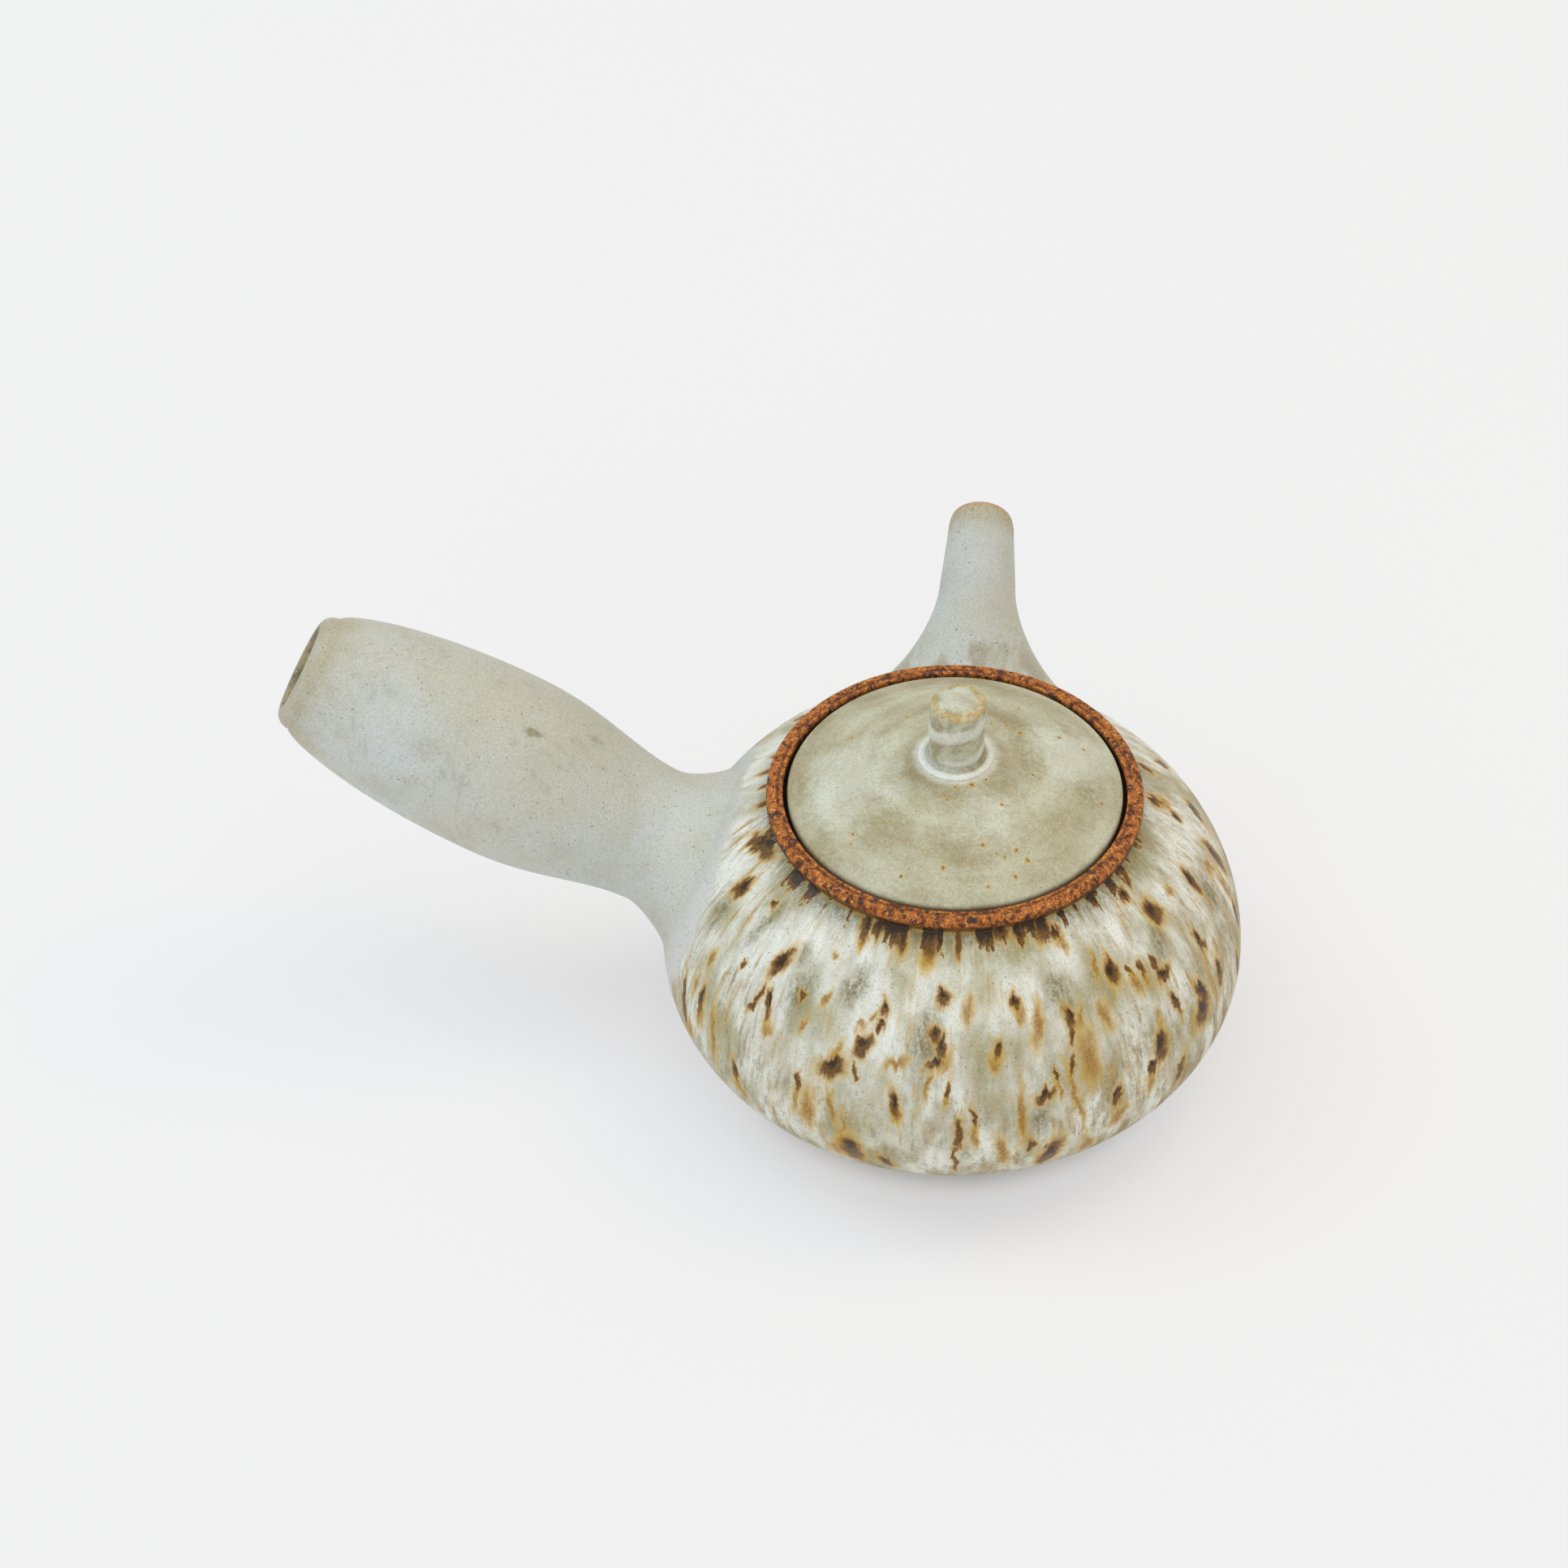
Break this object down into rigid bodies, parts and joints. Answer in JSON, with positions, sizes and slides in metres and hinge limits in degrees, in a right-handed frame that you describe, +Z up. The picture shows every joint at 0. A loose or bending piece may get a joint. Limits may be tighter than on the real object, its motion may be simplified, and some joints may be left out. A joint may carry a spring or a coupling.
{
  "type": "side-handle teapot",
  "caption": "Squat stoneware teapot with a hollow barrel handle at its side, a trumpet spout, a pierced strainer and a drop-in lid.",
  "frame": {"origin": "centre of the flat base, on the pot's vertical axis", "axes": "+Z up, +Y towards the spout, -X towards the side handle"},
  "size_m": [0.1843, 0.1291, 0.0867],
  "materials": {
    "body_glaze": "semi-matt grey-white stoneware glaze with olive clouds and brown iron runs below a bare rust rim",
    "pale_glaze": "semi-matt grey-white stoneware glaze with fine specks, tan where it breaks over the lips",
    "lid_glaze": "semi-matt olive-grey stoneware glaze with thrown swirls and small brown spots",
    "bare_clay": "unglazed rust-brown stoneware, granular and dry"
  },
  "bodies": {
    "pot": {"pot_body": "body_glaze", "spout": "pale_glaze", "strainer": "bare_clay", "side_handle": "pale_glaze"},
    "lid": {"lid_plate": "lid_glaze", "lid_flange": "bare_clay", "lid_knob": "lid_glaze"}
  },
  "joints": [
    {"name": "lid_lift", "type": "slide", "parent": "pot", "child": "lid", "axis": [0, 0, 1], "range_m": [0, 0.06]}
  ]
}
